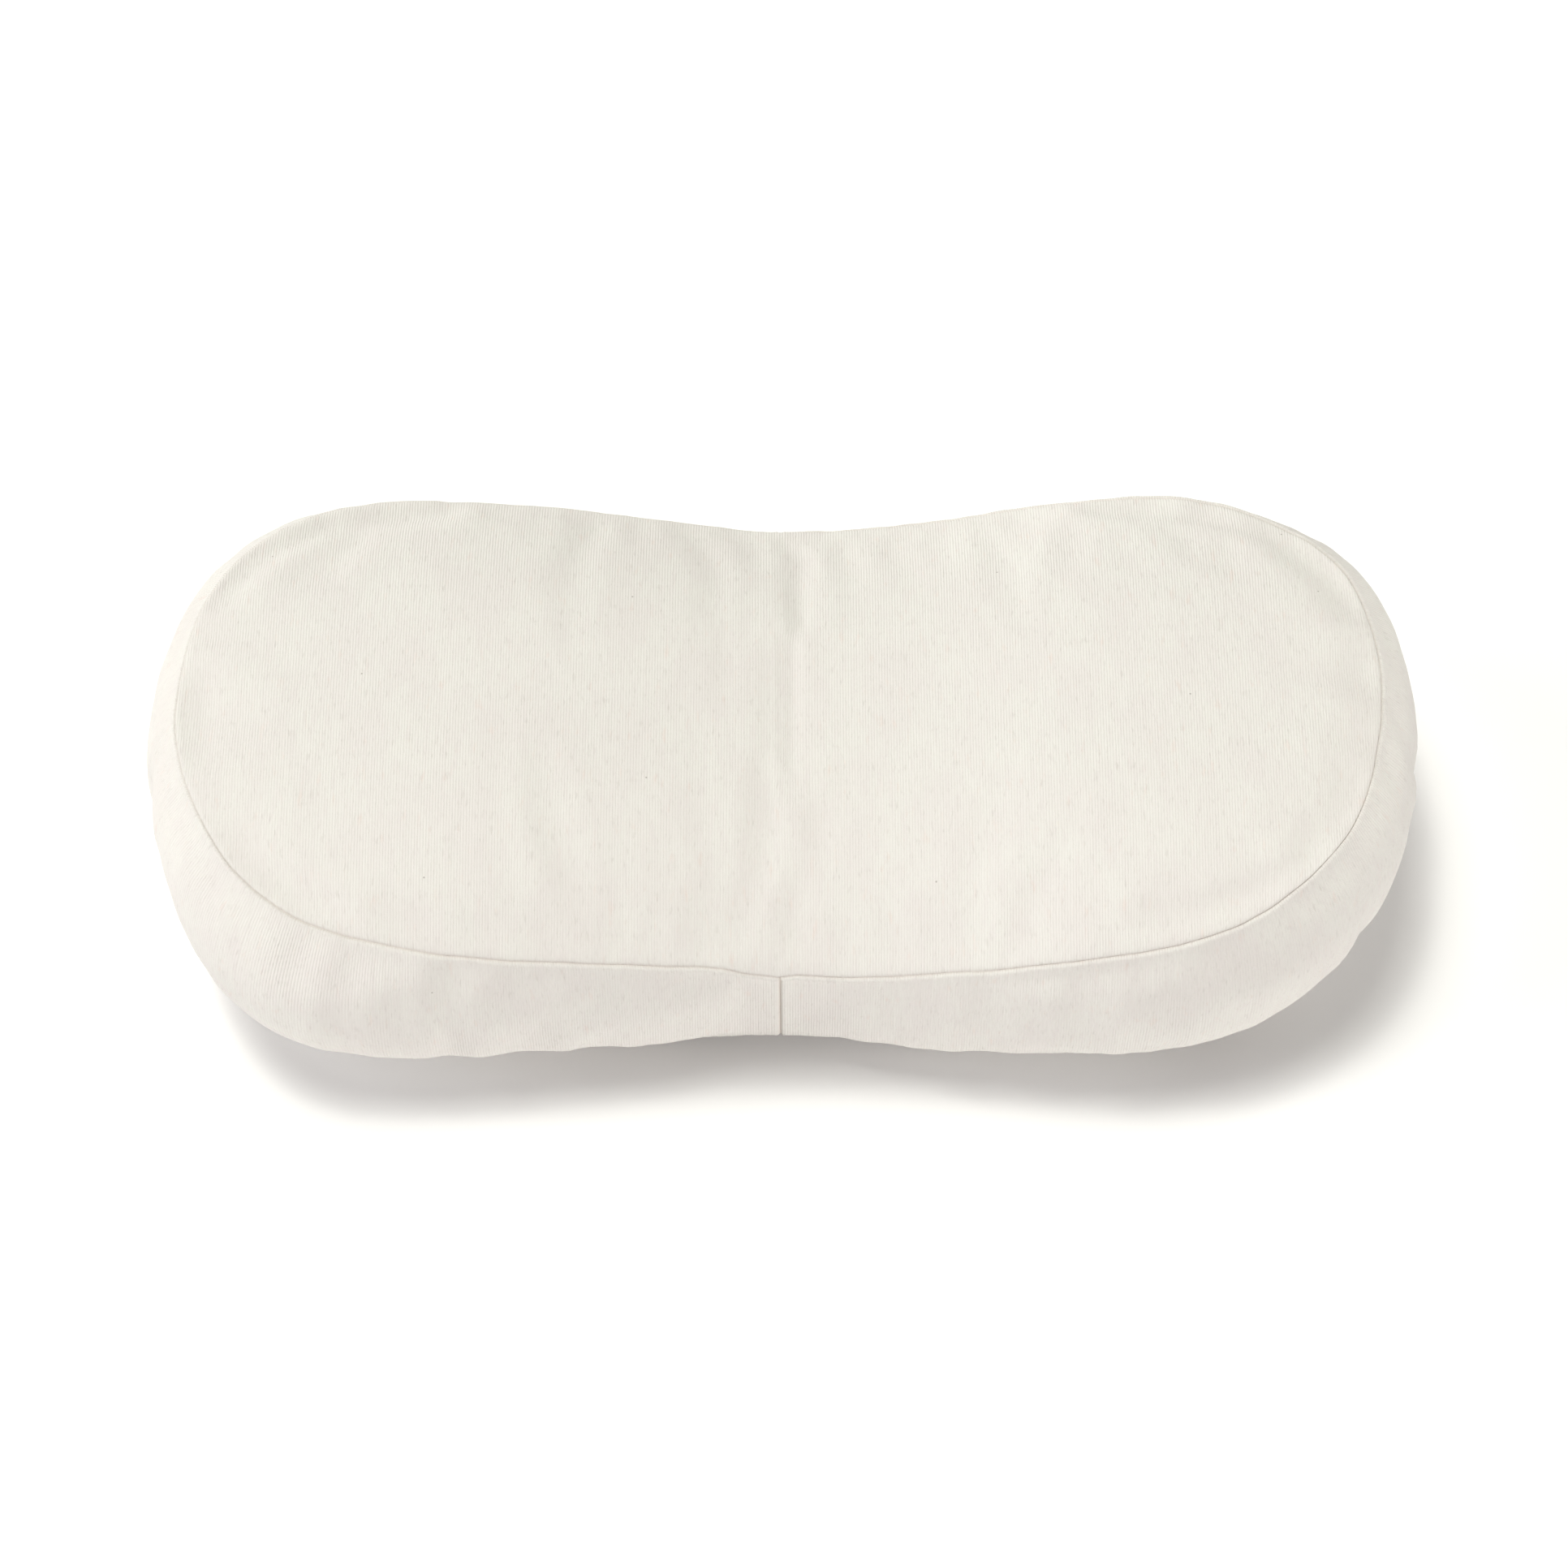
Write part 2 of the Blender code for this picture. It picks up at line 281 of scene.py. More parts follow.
class Cover:
    """The cushion's cover as columns and rows of points: its panels, their seams and their cut pattern."""

    def __init__(self, grid, reach):
        self.grid = grid
        self.reach = reach
        self.outline = seam_outline(grid)
        self.out = outward_directions(self.outline)
        self.columns = len(self.outline)
        bearing = np.degrees(np.arctan2(self.outline[:, 1], self.outline[:, 0]))
        bearing = np.where(bearing < FULLNESS[0][0], bearing + 360.0, bearing)
        self.fuller = self.evened(from_table([row[:2] for row in FULLNESS], bearing) * MM)
        self.bulging = self.evened(from_table([row[::2] for row in FULLNESS], bearing) * MM)
        self.shown = from_table(SEAM_SHOWN, bearing)
        self.place = np.cumsum(np.linalg.norm(np.roll(self.outline, 1, axis=0) - self.outline, axis=1))
        self.puckers = self.seam_puckers()
        self.fuller = self.fuller + self.puckers * PUCKER_SIDEWAYS
        self.outline_out = self.outline + self.out * self.fuller[:, None]
        front = np.clip(-self.outline[:, 1] / FRONT_DEPTH, 0.0, 1.0)
        self.wander = from_table(FRONT_SEAM, self.outline[:, 0] / MM) * MM * front
        self.build()
        self.faces = self.all_faces()
        self.points = self.all_points()
        self.seams = self.seam_distance()
        self.points = self.taut(self.points)

    def seam_puckers(self):
        """How far the top seam strays as its cloth gathers a little between stitches."""
        round_seam = self.place[-1]
        turn = 2.0 * math.pi * self.place / round_seam
        stray = np.zeros(self.columns)
        for length, size, start in PUCKERS:
            waves = round(round_seam / (length * MM))
            slow = 0.6 + 0.4 * np.sin(turn * (3 + waves % 5) + 1.7 * start)
            stray += size * MM * np.sin(turn * waves + start) * slow
        return stray

    def evened(self, values):
        """Values round the seam, each evened out with those beside it."""
        run = np.linalg.norm(np.roll(self.outline, -1, axis=0) - self.outline, axis=1)
        place = np.concatenate(([0.0], np.cumsum(run)[:-1]))
        apart = np.abs(place[:, None] - place[None, :])
        apart = np.minimum(apart, run.sum() - apart)
        weight = np.exp(-0.5 * (apart / FULLNESS_EVENED) ** 2) * run[None, :]
        return (weight * values[None, :]).sum(1) / weight.sum(1)

    def panel_curves(self, start, hold, inner):
        """Level curves from each seam point to an inner ring, square to the seam at first."""
        share = np.linspace(0.0, 1.0, 41)[None, :, None]
        middle = start - self.out * hold
        return (start[:, None, :] * (1.0 - share) ** 2 + middle[:, None, :] * 2.0 * share * (1.0 - share)
                + inner[:, None, :] * share ** 2)

    def inner_ring(self):
        """The boundary of the even grid in the middle of a panel, with a point for each column."""
        front, end = self.grid.front, self.grid.end
        outline = self.outline
        x_front = outline[:front + 1, 0] / abs(outline[[0, front], 0]).mean() * INNER_X
        x_back = outline[front + end:2 * front + end + 1, 0][::-1]
        x_back = x_back / abs(x_back[[0, -1]]).mean() * INNER_X
        y_side = np.linspace(-INNER_Y, INNER_Y, end + 1)
        edges = (
            np.column_stack((x_front, np.full(front + 1, -INNER_Y))),
            np.column_stack((np.full(end + 1, INNER_X), y_side)),
            np.column_stack((x_back[::-1], np.full(front + 1, INNER_Y))),
            np.column_stack((np.full(end + 1, -INNER_X), y_side[::-1])),
        )
        return np.vstack([edge[:-1] for edge in edges])

    def inner_grid(self, ring):
        """Points across the middle of a panel, between the front and back runs of its inner ring."""
        front, end = self.grid.front, self.grid.end
        low = ring[:front + 1]
        high = ring[front + end:2 * front + end + 1][::-1]
        share = np.linspace(0.0, 1.0, end + 1)[:, None, None]
        return low[None] * (1.0 - share) + high[None] * share

    def row_places(self, length, rows):
        """Lengths along each column for its rows: a few close to the seam, then evenly to the end."""
        near = np.array(self.grid.near) * MM
        share = np.linspace(0.0, 1.0, rows + 1)[1:]
        far = near[-1] + (length[:, None] - near[-1]) * share
        return np.hstack((np.tile(near, (len(length), 1)), far))

    def top_height(self, points):
        """The height of the top panel over each level point inside its seam."""
        along = points[:, 0] / SEAM_HALF_LENGTH
        inward = np.clip(distance_to_outline(points, self.outline_out) / self.reach, 0.0, 1.0)
        dome = 1.0 - (1.0 - inward) ** CROWN_POWER
        return section_value(along, "seam_height") + section_value(along, "crown") * dome

    def band_point_rows(self):
        """The band's curve down each column, finely divided, before its rows are spaced."""
        along = self.outline[:, 0] / SEAM_HALF_LENGTH
        top = section_value(along, "seam_height")
        fullest = top * section_value(along, "fullest")
        bulge = section_value(along, "bulge") + self.bulging
        curves = []
        for share in np.linspace(0.0, 1.0, 121):
            if share < 0.5:
                upper = 1.0 - 2.0 * share
                sideways = bulge * (1.0 - upper ** 2)
                height = fullest + (top - fullest) * upper
            else:
                lower = 2.0 * share - 1.0
                sideways = bulge - (bulge + BAND_TUCK) * lower ** TUCK_POWER
                height = fullest - (fullest - BOTTOM_SEAM_HEIGHT) * lower
            level = self.outline_out + self.out * sideways[:, None]
            curves.append(np.column_stack((level, height)))
        return np.array(curves).transpose(1, 0, 2)

    def build(self):
        """Place the rings of all three panels and the even grids inside the top and bottom ones."""
        ring = self.inner_ring()

        # The top panel, from its seam inward
        curves = self.panel_curves(self.outline_out, FAN_HOLD, ring)
        places = self.row_places(curve_lengths(curves), self.grid.top_rows)
        level = along_curves(curves, places)
        height = self.top_height(level.reshape(-1, 2)).reshape(level.shape[:2])
        top = np.dstack((level, height))
        self.top_places = places

        # The side band, from the top seam to the bottom seam
        curves = self.band_point_rows()
        length = curve_lengths(curves)
        upper = self.row_places(length / 2.0, self.grid.band_rows // 2)
        places = np.hstack((upper, (length[:, None] - upper)[:, -2::-1]))
        band = along_curves(curves, places)
        self.band_places = places
        self.band_length = length

        # The bottom panel, from its seam to where it lies on the floor
        seam = band[:, -1, :2]
        curves = self.panel_curves(seam, FAN_HOLD, ring * UNDER_SHARE)
        places = self.row_places(curve_lengths(curves), self.grid.top_rows)
        level = along_curves(curves, places)
        lift = np.clip(1.0 - places / FLOOR_INSET, 0.0, 1.0) ** 2 * BOTTOM_SEAM_HEIGHT
        bottom = np.dstack((level, lift))
        self.bottom_places = places

        # The wander of the front seam, which dies away over the panel and the band beside it
        for rows, spread in ((top, self.top_places), (band, self.band_places)):
            fade = np.clip(1.0 - spread / WANDER_FADE, 0.0, 1.0)
            fade = fade * fade * (3.0 - 2.0 * fade)
            short = np.exp(-spread / PUCKER_FADE)
            shift = self.wander[:, None] * fade + self.puckers[:, None] * short
            rows[:, :, :2] -= self.out[:, None, :] * (shift * SLOPE[0])[:, :, None]
            rows[:, :, 2] += shift * SLOPE[1]

        self.rings = np.concatenate((top[:, :0:-1], band, bottom[:, 1:]), axis=1).transpose(1, 0, 2)
        self.seam_row = top.shape[1] - 1
        self.bottom_seam_row = self.seam_row + band.shape[1] - 1
        self.top_grid = self.inner_grid(self.rings[0, :, :2])
        self.bottom_grid = self.inner_grid(self.rings[-1, :, :2])

    def all_points(self):
        """All points: the rings from the top panel's to the bottom panel's, then both even grids' insides."""
        inside = self.top_grid[1:-1, 1:-1].reshape(-1, 2)
        top = np.column_stack((inside, self.top_height(inside)))
        under = self.bottom_grid[1:-1, 1:-1].reshape(-1, 2)
        bottom = np.column_stack((under, np.zeros(len(under))))
        return np.vstack((self.rings.reshape(-1, 3), top, bottom))

    def grid_numbers(self, first_inside, ring_number):
        """The numbers of a panel's even grid of points, with its rim taken from a ring."""
        front, end = self.grid.front, self.grid.end
        numbers = np.empty((end + 1, front + 1), int)
        start = ring_number * self.columns
        ring = np.append(np.arange(start, start + self.columns), start)
        numbers[0, :] = ring[:front + 1]
        numbers[:, -1] = ring[front:front + end + 1]
        numbers[-1, :] = ring[front + end:2 * front + end + 1][::-1]
        numbers[:, 0] = ring[2 * front + end:][::-1]
        inside = (end - 1) * (front - 1)
        numbers[1:-1, 1:-1] = np.arange(first_inside, first_inside + inside).reshape(end - 1, front - 1)
        return numbers

    def all_faces(self):
        """All faces: the rings' first, from top to bottom, then the top grid's and the bottom grid's."""
        rings = len(self.rings)
        here = np.arange(self.columns)
        after = np.roll(here, -1)
        quads = []
        for number in range(rings - 1):
            a = number * self.columns
            b = a + self.columns
            quads.append(np.column_stack((a + here, b + here, b + after, a + after)))
        first = rings * self.columns
        inside = (self.grid.end - 1) * (self.grid.front - 1)
        for start, ring_number, turned in ((first, 0, False), (first + inside, rings - 1, True)):
            numbers = self.grid_numbers(start, ring_number)
            quad = np.stack((numbers[:-1, :-1], numbers[:-1, 1:], numbers[1:, 1:], numbers[1:, :-1]), axis=-1)
            quad = quad.reshape(-1, 4)
            quads.append(quad[:, ::-1] if turned else quad)
        return np.vstack(quads)

    def seam_distance(self):
        """For every point: mm from the top seam, from the bottom seam and from an upright join."""
        rings = len(self.rings)
        far = np.full((len(self.points), 3), 99.0)
        rows = np.full((rings, self.columns), 99.0)
        top = rows.copy()
        top[:self.seam_row + 1] = self.top_places.T[::-1] / MM
        top[self.seam_row:self.bottom_seam_row + 1] = self.band_places.T / MM
        low = rows.copy()
        low[self.seam_row:self.bottom_seam_row + 1] = (self.band_length[:, None] - self.band_places).T / MM
        low[self.bottom_seam_row:] = self.bottom_places.T / MM
        count = rings * self.columns
        far[:count, 0] = top.ravel()
        far[:count, 1] = low.ravel()
        join = np.abs(self.outline[:, 0]) / MM
        upright = rows.copy()
        upright[self.seam_row:self.bottom_seam_row + 1] = join
        far[:count, 2] = upright.ravel()
        return far

    def taut(self, points):
        """Even out the top panel away from its seam, where filling holds the cloth in one broad curve."""
        inside = np.clip((self.seams[:, 0] - TAUT_START) / (TAUT_FULL - TAUT_START), 0.0, 1.0)
        inside = inside * inside * (3.0 - 2.0 * inside)
        low = points[:, 2] < TAUT_ABOVE
        share = np.where(low, 0.0, inside)
        share[self.seam_row * self.columns:len(self.rings) * self.columns] = 0.0
        return smooth_over(self.faces, points, TAUT_ROUNDS, share)

    def pattern(self):
        """The cut pattern in metres for each face corner: across the ribs, and along them."""
        rings = len(self.rings)
        coordinates = self.points[self.faces][:, :, :2].copy()
        step = np.linalg.norm(np.roll(self.outline_out, -1, axis=0) - self.outline_out, axis=1) * BAND_STRETCH
        left = np.concatenate(([0.0], np.cumsum(step)[:-1]))
        right = left + step
        waist = self.grid.front // 2
        back = self.grid.front + self.grid.end + self.grid.front // 2
        column = np.arange(self.columns)
        lot = np.where((column >= waist) & (column < back), *BAND_CUT)
        for number in range(self.seam_row, self.bottom_seam_row):
            rows = slice(number * self.columns, (number + 1) * self.columns)
            depth = self.band_places[:, number - self.seam_row]
            below = self.band_places[:, number - self.seam_row + 1]
            after = np.roll(depth, -1)
            below_after = np.roll(below, -1)
            coordinates[rows, 0] = np.column_stack((left + lot, -depth))
            coordinates[rows, 1] = np.column_stack((left + lot, -below))
            coordinates[rows, 2] = np.column_stack((right + lot, -below_after))
            coordinates[rows, 3] = np.column_stack((right + lot, -after))
        under = slice(self.bottom_seam_row * self.columns, (rings - 1) * self.columns)
        coordinates[under] += UNDER_CUT
        inside = self.grid.end * self.grid.front
        coordinates[-inside:] += UNDER_CUT
        return coordinates


def mesh_from(name, points, faces):
    """A new mesh with these points and faces."""
    mesh = bpy.data.meshes.new(name)
    mesh.from_pydata(points.tolist(), [], faces.tolist())
    mesh.update()
    return mesh


def vertex_normals(points, faces):
    """Outward directions at the points, from the faces round them."""
    corner = points[faces]
    across = np.cross(corner[:, 2] - corner[:, 0], corner[:, 3] - corner[:, 1])
    normals = np.zeros_like(points)
    for place in range(4):
        np.add.at(normals, faces[:, place], across)
    return normals / np.maximum(np.linalg.norm(normals, axis=1), 1e-12)[:, None]


def smooth_over(faces, values, rounds, share=1.0):
    """Values at points, evened out with their neighbours. share says how much each point takes part."""
    here = np.concatenate([faces[:, place] for place in (0, 1, 2, 3)] * 2)
    there = np.concatenate([faces[:, place] for place in (1, 2, 3, 0, 3, 0, 1, 2)])
    count = np.bincount(here, minlength=len(values))
    part = 0.5 * np.broadcast_to(share, len(values))
    columns = list(values.T)
    for _ in range(rounds):
        for axis, column in enumerate(columns):
            mean = np.bincount(here, weights=column[there], minlength=len(values)) / count
            columns[axis] = column + (mean - column) * part
    return np.column_stack(columns)


def swell(cover):
    """Fill a coarse copy of the cover under pressure, and return its points and how far each one moved."""
    points = cover.points
    faces = cover.faces
    cloth_object = bpy.data.objects.new("swelling", mesh_from("swelling", points, faces))
    bpy.context.scene.collection.objects.link(cloth_object)
    seams = cover.seams
    held = cloth_object.vertex_groups.new(name="held")
    drawn = cloth_object.vertex_groups.new(name="drawn")
    for number, (place, distance) in enumerate(zip(points, seams)):
        seam = max(0.0, 1.0 - distance[:2].min() / SEAM_REACH)
        if place[2] < ON_FLOOR:
            held.add([number], 1.0, "REPLACE")
        elif seam > AT_SEAM:
            held.add([number], SEAM_HOLD, "REPLACE")
        if seam > 0.0:
            drawn.add([number], seam, "REPLACE")
    modifier = cloth_object.modifiers.new("filling", "CLOTH")
    settings = modifier.settings
    settings.quality = 6
    settings.mass = CLOTH_MASS
    settings.tension_stiffness = CLOTH_STRETCH
    settings.compression_stiffness = CLOTH_STRETCH
    settings.shear_stiffness = CLOTH_SHEAR
    settings.bending_stiffness = CLOTH_BENDING
    settings.use_pressure = True
    settings.uniform_pressure_force = PRESSURE
    settings.vertex_group_mass = "held"
    settings.pin_stiffness = 1.0
    settings.vertex_group_shrink = "drawn"
    settings.shrink_min = 0.0
    settings.shrink_max = SEAM_SHRINK
    settings.effector_weights.gravity = 0.0
    modifier.collision_settings.use_collision = False
    modifier.point_cache.frame_start = 1
    modifier.point_cache.frame_end = SWELL_FRAMES
    scene = bpy.context.scene
    for number in range(1, SWELL_FRAMES + 1):
        scene.frame_set(number)
    view = bpy.context.evaluated_depsgraph_get()
    settled = cloth_object.evaluated_get(view).data
    moved = np.empty(len(points) * 3)
    settled.vertices.foreach_get("co", moved)
    moved = moved.reshape(-1, 3) - points
    mesh = cloth_object.data
    bpy.data.objects.remove(cloth_object)
    bpy.data.meshes.remove(mesh)
    scene.frame_set(1)
    size = np.linalg.norm(moved, axis=1)
    moved *= (np.minimum(size, SWELL_CAP) / np.maximum(size, 1e-9))[:, None]
    broad = smooth_over(faces, moved, BROAD_ROUNDS)
    return points, (moved - broad) + BROAD_SHARE * broad


def spread_moves(known, moves, points):
    """Moves of a coarse set of points, carried over to a fine one near it."""
    tree = KDTree(len(known))
    for number, place in enumerate(known):
        tree.insert(place, number)
    tree.balance()
    result = np.zeros_like(points)
    for number, place in enumerate(points):
        found = tree.find_n(place, SPREAD_POINTS)
        weights = np.array([math.exp(-0.5 * (apart / SPREAD_REACH) ** 2) for _, _, apart in found]) + 1e-9
        rows = [index for _, index, _ in found]
        result[number] = (moves[rows] * weights[:, None]).sum(0) / weights.sum()
    return result


def add_node(tree, kind, inputs=None, **settings):
    """Add a node with its settings. inputs gives a constant, or another node's output, for each socket."""
    node = tree.nodes.new(kind)
    for name, value in settings.items():
        setattr(node, name, value)
    for socket, value in (inputs or {}).items():
        if isinstance(value, bpy.types.NodeSocket):
            tree.links.new(value, node.inputs[socket])
        else:
            node.inputs[socket].default_value = value
    return node


def knitted_jersey(settings):
    """Heathered cotton jersey in fine ribs: a matt off-white face with soft streaks along the ribs, and painted
    shade mixed with thread colour along the seams.
    """
    material = bpy.data.materials.new("knitted_cotton_jersey")
    material.use_nodes = True
    tree = material.node_tree
    tree.nodes.clear()
    output = add_node(tree, "ShaderNodeOutputMaterial")
    shader = add_node(tree, "ShaderNodeBsdfPrincipled", {
        "Roughness": 0.92,
        "Specular IOR Level": 0.25,
        "Sheen Weight": 0.06,
        "Sheen Roughness": 0.5,
    })
    tree.links.new(shader.outputs["BSDF"], output.inputs["Surface"])
    cut = add_node(tree, "ShaderNodeUVMap", uv_map="cut_pattern").outputs["UV"]

    def layer(colour, tint, width, length, start, low, high, most):
        """Mix in a tint where stretched noise is high. width and length of its streaks are in metres."""
        place = add_node(tree, "ShaderNodeMapping", {
            "Vector": cut, "Location": (start, start * 0.7, start), "Scale": (1.0 / width, 1.0 / length, 1.0)})
        noise = add_node(tree, "ShaderNodeTexNoise", {
            "Vector": place.outputs["Vector"], "Scale": 1.0, "Detail": 2.0, "Roughness": 0.5})
        mask = add_node(tree, "ShaderNodeMapRange", {
            "Value": noise.outputs["Fac"], "From Min": low, "From Max": high, "To Min": 0.0, "To Max": most},
            interpolation_type="SMOOTHSTEP")
        mix = add_node(tree, "ShaderNodeMix", {0: mask.outputs["Result"], 7: (*tint, 1.0)}, data_type="RGBA")
        if isinstance(colour, bpy.types.NodeSocket):
            tree.links.new(colour, mix.inputs[6])
        else:
            mix.inputs[6].default_value = (*colour, 1.0)
        return mix.outputs[2]

    # The yarn is spun from fibres that differ a little, so it streaks along the ribs and clouds over many
    colour = layer(settings.yarn_colour, settings.mist_colour, 0.016, 0.030, 3.0, 0.38, 0.66, 0.5)
    colour = layer(colour, settings.mist_colour, 0.0021, 0.010, 11.0, 0.40, 0.70, 0.5)
    colour = layer(colour, settings.rose_colour, 0.0026, 0.009, 23.0, 0.60, 0.78, 0.45)
    colour = layer(colour, settings.grey_colour, 0.0010, 0.0046, 37.0, 0.56, 0.80, 0.45)
    colour = layer(colour, settings.grey_colour, 0.0024, 0.0075, 51.0, 0.60, 0.82, 0.30)

    # Neps: a few tiny dark knots of fibre
    parts = add_node(tree, "ShaderNodeSeparateXYZ", {"Vector": cut})
    knots = add_node(tree, "ShaderNodeTexVoronoi", {"Vector": cut, "Scale": 1.0 / 0.09, "Randomness": 1.0},
                     voronoi_dimensions="2D")
    knot = add_node(tree, "ShaderNodeMapRange", {
        "Value": knots.outputs["Distance"], "From Min": 0.002, "From Max": 0.0045, "To Min": 0.6, "To Max": 0.0})
    mix = add_node(tree, "ShaderNodeMix", {
        0: knot.outputs["Result"], 6: colour, 7: (*settings.nep_colour, 1.0)}, data_type="RGBA")
    colour = mix.outputs[2]

    # Painted shade along the stitch line, mixed with the thread's warmer beige
    stitch = add_node(tree, "ShaderNodeAttribute", attribute_name="seam_thread_and_shade")
    sewn = add_node(tree, "ShaderNodeMix", {
        0: stitch.outputs["Fac"], 6: colour, 7: (*settings.thread_and_shade_colour, 1.0)}, data_type="RGBA")
    tree.links.new(sewn.outputs[2], shader.inputs["Base Color"])

    # Ribs: a rounded ridge for each wale
    turn = add_node(tree, "ShaderNodeMath", {0: parts.outputs["X"], 1: math.pi / settings.rib_pitch},
                    operation="MULTIPLY")
    wave = add_node(tree, "ShaderNodeMath", {0: turn.outputs[0]}, operation="SINE")
    ridge = add_node(tree, "ShaderNodeMath", {0: wave.outputs[0]}, operation="ABSOLUTE")
    ribs = add_node(tree, "ShaderNodeBump", {
        "Height": ridge.outputs[0], "Strength": 0.7, "Distance": 0.00016})
    loops_place = add_node(tree, "ShaderNodeMapping", {
        "Vector": cut, "Scale": (1.0 / 0.0007, 1.0 / 0.0012, 1.0)})
    loops = add_node(tree, "ShaderNodeTexNoise", {
        "Vector": loops_place.outputs["Vector"], "Scale": 1.0, "Detail": 2.0})
    fuzz = add_node(tree, "ShaderNodeBump", {
        "Height": loops.outputs["Fac"], "Normal": ribs.outputs["Normal"], "Strength": 0.5, "Distance": 0.00025})
    tree.links.new(fuzz.outputs["Normal"], shader.inputs["Normal"])
    return material


def white_floor(settings):
    """Seamless white paper, which the studio light brings up to plain white."""
    material = bpy.data.materials.new("seamless_white_paper")
    material.use_nodes = True
    shader = material.node_tree.nodes["Principled BSDF"]
    shader.inputs["Base Color"].default_value = (*settings.floor_colour, 1.0)
    shader.inputs["Roughness"].default_value = 1.0
    shader.inputs["Specular IOR Level"].default_value = 0.0
    return material


class CoverSettings(bpy.types.PropertyGroup):
    """Sizes and colours of the cushion."""

    crown_reach: bpy.props.FloatProperty(
        name="Crown Reach", description="How far in from its seam the top panel keeps climbing",
        default=0.075, min=0.03, max=0.09, unit="LENGTH")
    rib_pitch: bpy.props.FloatProperty(
        name="Rib Pitch", description="Distance between two ribs of the knit",
        default=0.00098, min=0.0004, max=0.004, precision=5, unit="LENGTH")
    fill: bpy.props.FloatProperty(
        name="Fill", description="How tightly the cushion is filled", default=0.75, min=0.0, max=1.0,
        subtype="FACTOR")
    yarn_colour: bpy.props.FloatVectorProperty(
        name="Yarn", description="Main colour of the yarn", default=linear("DEDCD6")[:3], size=3,
        subtype="COLOR")
    mist_colour: bpy.props.FloatVectorProperty(
        name="Mist", description="Colour of the cooler patches", default=linear("DBD6D2")[:3], size=3,
        subtype="COLOR")
    rose_colour: bpy.props.FloatVectorProperty(
        name="Rose Fibres", description="Colour of the rose streaks", default=linear("DCCEC6")[:3], size=3,
        subtype="COLOR")
    grey_colour: bpy.props.FloatVectorProperty(
        name="Grey Fibres", description="Colour of the grey streaks", default=linear("C3BEB8")[:3], size=3,
        subtype="COLOR")
    nep_colour: bpy.props.FloatVectorProperty(
        name="Neps", description="Colour of the tiny knots of fibre", default=linear("857C74")[:3], size=3,
        subtype="COLOR")
    # Thread colour mixed with painted shade: it darkens the seam grooves
    thread_and_shade_colour: bpy.props.FloatVectorProperty(
        name="Thread", description="Colour down in the seams", default=linear("CABFB5")[:3], size=3,
        subtype="COLOR")


class StageSettings(bpy.types.PropertyGroup):
    """The studio's light and floor."""

    light: bpy.props.FloatProperty(
        name="Light", description="Brightness of all the lamps, 1 as in the photo", default=1.0, min=0.0)
    ambient: bpy.props.FloatProperty(
        name="Ambient Light", description="Brightness of the white room", default=0.03, min=0.0)
    floor_colour: bpy.props.FloatVectorProperty(
        name="Floor", description="Colour of the paper floor", default=linear("FAFAFA")[:3], size=3,
        subtype="COLOR")


class OBJECT_OT_cushion_cover(bpy.types.Operator):
    """Sew, fill and dress the cushion's cover"""

    bl_idname = "object.cushion_cover"
    bl_label = "Cushion Cover"

    def execute(self, context):
        settings = context.scene.cushion_cover
        cover = Cover(FINE, settings.crown_reach)
        points = cover.points
        faces = cover.faces
        known, moves = swell(Cover(COARSE, settings.crown_reach))
        points = points + spread_moves(known, moves, points)
        points[:, 2] = np.maximum(points[:, 2], 0.0)
        normals = vertex_normals(points, faces)
        seams = cover.seams
        top = len(cover.rings[:cover.seam_row]) * cover.columns
        panel_side = np.zeros(len(points), bool)
        panel_side[:top] = True
        relief = np.where(panel_side, from_table(PANEL_SIDE, seams[:, 0]), from_table(BAND_SIDE, seams[:, 0]))
        shown = np.ones(len(points))
        shown[:len(cover.rings) * cover.columns] = np.tile(cover.shown, len(cover.rings))
        relief = relief * shown + from_table(PANEL_SIDE, seams[:, 1])
        join = from_table(JOIN_SIDE, seams[:, 2])
        relief = relief + np.where(relief < JOIN_GIVES_WAY, 0.0, join)
        points = points + normals * (relief * MM)[:, None]
        mesh = mesh_from("cushion_cover", points, faces)
        mesh.shade_smooth()
        layer = mesh.uv_layers.new(name="cut_pattern")
        layer.data.foreach_set("uv", cover.pattern().ravel())
        # Painted shade of the seam grooves, mixed with the thread's colour, as a share at each point
        stitch = mesh.attributes.new("seam_thread_and_shade", "FLOAT", "POINT")
        shade = np.exp(-(seams / STITCH_SHADE) ** 2) * STITCH_THREAD_AND_SHADE
        shade[:, 0] *= shown
        stitch.data.foreach_set("value", shade.max(axis=1))
        mesh.materials.append(knitted_jersey(settings))
        piece = bpy.data.objects.new("cushion_cover", mesh)
        context.scene.collection.objects.link(piece)
        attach(piece, "root")
        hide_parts("cushion")
        return {"FINISHED"}


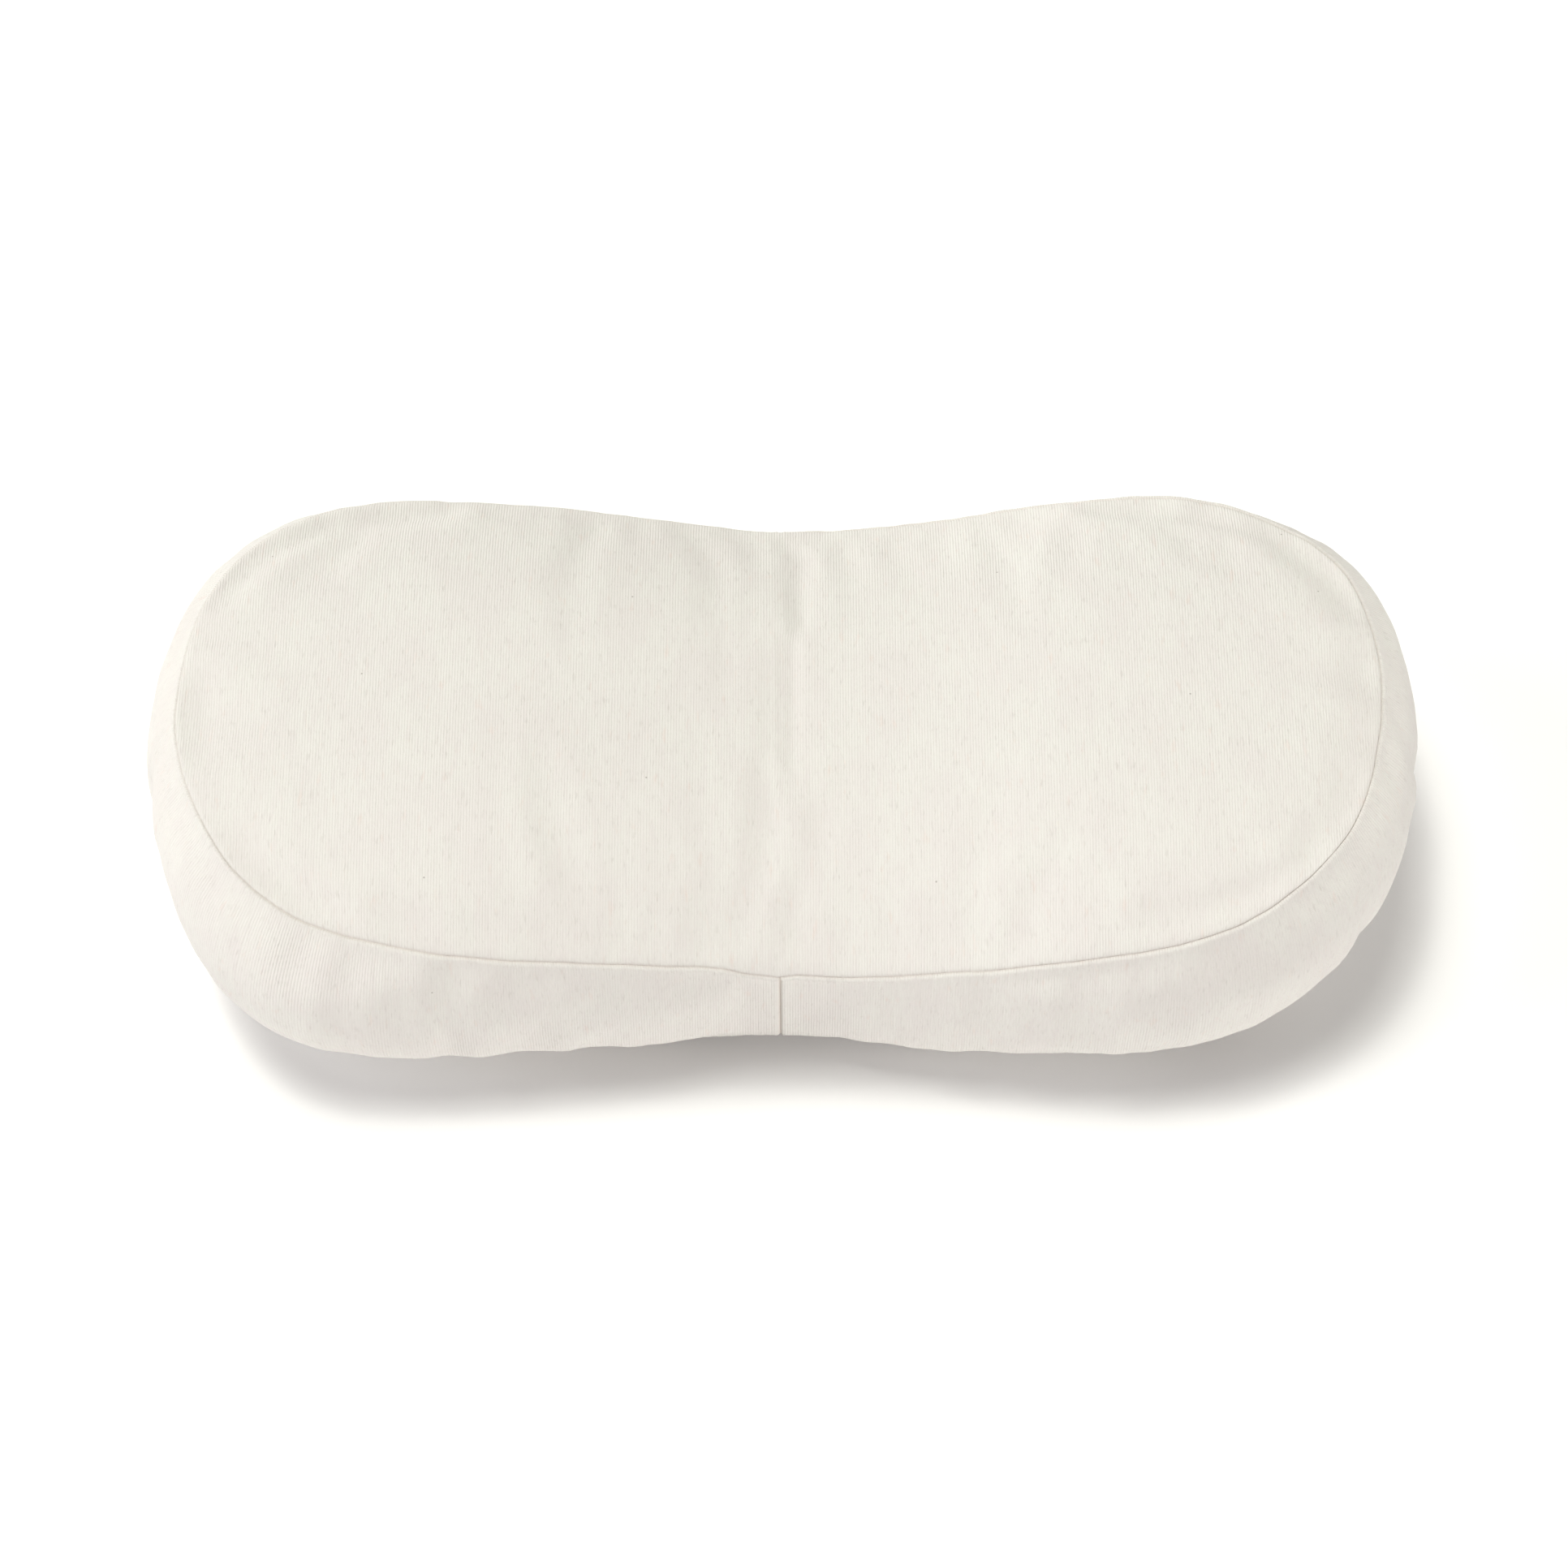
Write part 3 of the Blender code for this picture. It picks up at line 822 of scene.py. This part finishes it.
class OBJECT_OT_cushion_stage(bpy.types.Operator):
    """Set up the white floor, the studio light and the camera"""

    bl_idname = "object.cushion_stage"
    bl_label = "Studio Stage"

    def execute(self, context):
        settings = context.scene.cushion_stage
        scene = context.scene
        corners = FLOOR_HALF * np.array(((-1, -1, 0), (1, -1, 0), (1, 1, 0), (-1, 1, 0)), float)
        floor_mesh = mesh_from("floor", corners, np.array([[0, 1, 2, 3]]))
        floor_mesh.materials.append(white_floor(settings))
        floor = bpy.data.objects.new("floor", floor_mesh)
        scene.collection.objects.link(floor)

        room = bpy.data.worlds.new("white_room")
        room.use_nodes = True
        background = room.node_tree.nodes["Background"]
        background.inputs["Color"].default_value = (1.0, 1.0, 1.0, 1.0)
        background.inputs["Strength"].default_value = settings.ambient
        scene.world = room

        for entry in LAMPS:
            lamp = bpy.data.lights.new(entry.name, "SUN")
            lamp.angle = math.radians(entry.width)
            lamp.energy = math.pi * entry.share * settings.light
            lamp.color = linear(entry.tint)[:3]
            bearing = math.radians(entry.bearing)
            height = math.radians(entry.height)
            toward = Vector((
                math.cos(height) * math.cos(bearing), math.cos(height) * math.sin(bearing), math.sin(height)))
            holder = bpy.data.objects.new(entry.name, lamp)
            holder.location = toward * LAMP_DISTANCE
            holder.rotation_euler = toward.to_track_quat("Z", "Y").to_euler()
            scene.collection.objects.link(holder)

        lens = bpy.data.cameras.new("camera")
        lens.lens = CAMERA_LENS
        lens.sensor_width = CAMERA_SENSOR
        camera = bpy.data.objects.new("camera", lens)
        tilt = math.radians(CAMERA_ELEVATION)
        camera.location = (
            CAMERA_TARGET[0],
            CAMERA_TARGET[1] - CAMERA_DISTANCE * math.cos(tilt),
            CAMERA_TARGET[2] + CAMERA_DISTANCE * math.sin(tilt),
        )
        camera.rotation_euler = (math.pi / 2.0 - tilt, 0.0, 0.0)
        scene.collection.objects.link(camera)
        scene.camera = camera
        scene.view_settings.view_transform = "Standard"
        return {"FINISHED"}


class VIEW3D_PT_cushion(bpy.types.Panel):
    """The cushion's sizes and colours, and the operators that build it"""

    bl_label = "Peanut Cushion"
    bl_space_type = "VIEW_3D"
    bl_region_type = "UI"
    bl_category = "Cushion"

    def draw(self, context):
        for group, operator in (("cushion_cover", OBJECT_OT_cushion_cover),
                                ("cushion_stage", OBJECT_OT_cushion_stage)):
            settings = getattr(context.scene, group)
            column = self.layout.column(align=True)
            for name in settings.bl_rna.properties.keys():
                if name not in {"rna_type", "name"}:
                    column.prop(settings, name)
            column.operator(operator.bl_idname)


CLASSES = (CoverSettings, StageSettings, OBJECT_OT_cushion_cover, OBJECT_OT_cushion_stage, VIEW3D_PT_cushion)


def register():
    for entry in CLASSES:
        bpy.utils.register_class(entry)
    bpy.types.Scene.cushion_cover = bpy.props.PointerProperty(type=CoverSettings)
    bpy.types.Scene.cushion_stage = bpy.props.PointerProperty(type=StageSettings)


def unregister():
    del bpy.types.Scene.cushion_stage
    del bpy.types.Scene.cushion_cover
    for entry in reversed(CLASSES):
        bpy.utils.unregister_class(entry)


def main():
    register()
    bpy.ops.object.cushion_cover()
    bpy.ops.object.cushion_stage()


if __name__ == "__main__":
    main()
